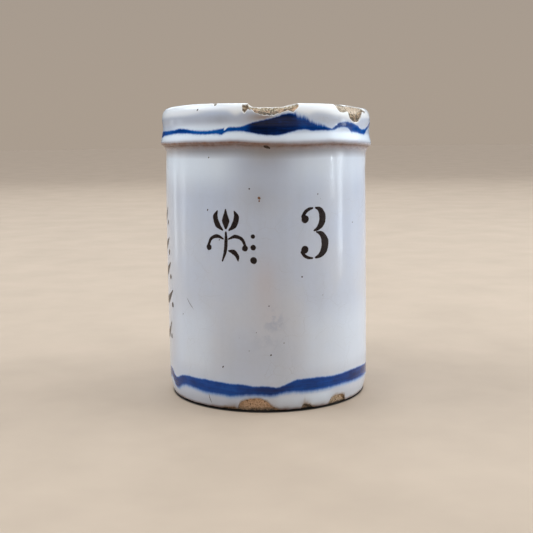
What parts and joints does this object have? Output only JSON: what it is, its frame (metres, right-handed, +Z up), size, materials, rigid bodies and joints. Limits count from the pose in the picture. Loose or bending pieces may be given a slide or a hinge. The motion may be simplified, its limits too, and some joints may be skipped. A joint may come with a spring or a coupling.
{
  "type": "faience pitcher",
  "caption": "Straight-sided tin-glazed earthenware pitcher with a rounded collar at the mouth, blue painted bands and a strap handle at the back, for holding and pouring drinks.",
  "frame": {"origin": "centre of the flat underside, on the body's axis, at the level the pitcher stands on", "axes": "+Z up along the body's axis; -Y is the front with the number; +Y is the handle side"},
  "size_m": [0.0994, 0.1334, 0.1368],
  "materials": {
    "clay": "porous buff earthenware, bare where the glaze has chipped and under the foot",
    "luting_clay": "the same earthenware, wet-joined and wiped",
    "tin_glaze": "glossy opaque cool-white tin glaze with pinholes, crazing and painted decoration"
  },
  "bodies": {
    "root": {"base_disc": "clay", "body_wall": "clay", "rim_collar": "clay", "handle_strap": "clay", "handle_upper_luting": "luting_clay", "handle_lower_luting": "luting_clay", "inner_glaze": "tin_glaze", "outer_glaze": "tin_glaze", "handle_glaze": "tin_glaze"}
  },
  "joints": []
}
